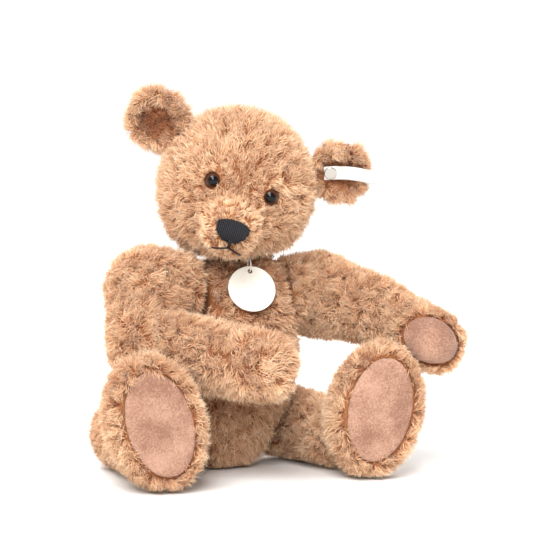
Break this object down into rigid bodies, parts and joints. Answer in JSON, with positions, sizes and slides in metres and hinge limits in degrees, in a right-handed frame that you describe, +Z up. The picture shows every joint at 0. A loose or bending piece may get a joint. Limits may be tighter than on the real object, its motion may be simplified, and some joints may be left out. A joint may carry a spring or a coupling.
{
  "type": "jointed teddy bear",
  "caption": "Small curly-plush teddy bear, sitting, with pin-and-disc jointed head, arms and legs, felt paw and foot pads, stitched nose, blank chest tag and ear flag.",
  "frame": {"origin": "middle of the flattened patch under the torso that the bear sits on", "axes": "+Z up, the bear faces -Y, so +X is to the bear's left"},
  "size_m": [0.225, 0.152, 0.2309],
  "materials": {
    "mohair": "curly golden-brown mohair plush",
    "pad_felt": "short-napped dusty rose-beige felt",
    "filling": "loose wadding",
    "hardboard": "plain hardboard",
    "zinc_steel": "zinc plated",
    "eye_glass": "dark brown glass with black pupil",
    "black_thread": "satin-stitched black thread",
    "seam_thread": "matching thread",
    "white_thread": "white thread",
    "tag_card": "blank coated card",
    "insole_card": "grey-brown card",
    "nickel": "polished nickel",
    "flag": "blank woven white tape"
  },
  "bodies": {
    "torso": {"torso_skin": "mohair", "torso_stuffing": "filling", "back_seam_stitching": "seam_thread", "tag_loop": "white_thread", "neck_torso_disc": "hardboard", "neck_torso_washer": "zinc_steel", "shoulder_right_torso_disc": "hardboard", "shoulder_right_torso_washer": "zinc_steel", "shoulder_left_torso_disc": "hardboard", "shoulder_left_torso_washer": "zinc_steel", "hip_right_torso_disc": "hardboard", "hip_right_torso_washer": "zinc_steel", "hip_left_torso_disc": "hardboard", "hip_left_torso_washer": "zinc_steel"},
    "chest_tag": {"chest_tag": "tag_card"},
    "head": {"head_skin": "mohair", "head_stuffing": "filling", "ear_right": "mohair", "ear_left": "mohair", "eye_right": "eye_glass", "eye_left": "eye_glass", "eye_washers": "zinc_steel", "nose_embroidery": "black_thread", "mouth_embroidery": "black_thread", "ear_button": "nickel", "ear_button_washer": "nickel", "ear_flag": "flag", "neck_head_disc": "hardboard", "neck_head_washer": "zinc_steel", "neck_pin": "zinc_steel"},
    "arm_right": {"arm_right_skin": "mohair", "arm_right_stuffing": "filling", "paw_pad_right": "pad_felt", "shoulder_right_arm_disc": "hardboard", "shoulder_right_arm_washer": "zinc_steel", "shoulder_right_pin": "zinc_steel"},
    "leg_right": {"leg_right_skin": "mohair", "leg_right_stuffing": "filling", "foot_pad_right": "pad_felt", "foot_insole_right": "insole_card", "hip_right_leg_disc": "hardboard", "hip_right_leg_washer": "zinc_steel", "hip_right_pin": "zinc_steel"},
    "arm_left": {"arm_left_skin": "mohair", "arm_left_stuffing": "filling", "paw_pad_left": "pad_felt", "shoulder_left_arm_disc": "hardboard", "shoulder_left_arm_washer": "zinc_steel", "shoulder_left_pin": "zinc_steel"},
    "leg_left": {"leg_left_skin": "mohair", "leg_left_stuffing": "filling", "foot_pad_left": "pad_felt", "foot_insole_left": "insole_card", "hip_left_leg_disc": "hardboard", "hip_left_leg_washer": "zinc_steel", "hip_left_pin": "zinc_steel"}
  },
  "joints": [
    {"name": "head_turn", "type": "hinge", "parent": "torso", "child": "head", "pos_m": [0.017, -0.0053, 0.1305], "axis": [-0.0948, -0.0166, 0.9954], "range_deg": [-30, 75]},
    {"name": "right_arm_swing", "type": "hinge", "parent": "torso", "child": "arm_right", "pos_m": [-0.01424, -0.00426, 0.1082], "axis": [-0.9981, 0, 0.0611], "range_deg": [-5, 35]},
    {"name": "left_arm_swing", "type": "hinge", "parent": "torso", "child": "arm_left", "pos_m": [0.04066, -0.00426, 0.10484], "axis": [0.9981, 0, -0.0611], "range_deg": [-55, 0]},
    {"name": "right_leg_swing", "type": "hinge", "parent": "torso", "child": "leg_right", "pos_m": [-0.032, 0.0025, 0.029], "axis": [-0.9445, 0.1496, -0.2924], "range_deg": [-90, 0]},
    {"name": "left_leg_swing", "type": "hinge", "parent": "torso", "child": "leg_left", "pos_m": [0.0335, -0.001, 0.0275], "axis": [0.9679, 0.0677, -0.2419], "range_deg": [0, 90]},
    {"name": "chest_tag_flap", "type": "hinge", "parent": "torso", "child": "chest_tag", "pos_m": [0.00916, -0.03295, 0.12159], "axis": [-0.9781, 0.2079, 0], "range_deg": [0, 20]}
  ]
}
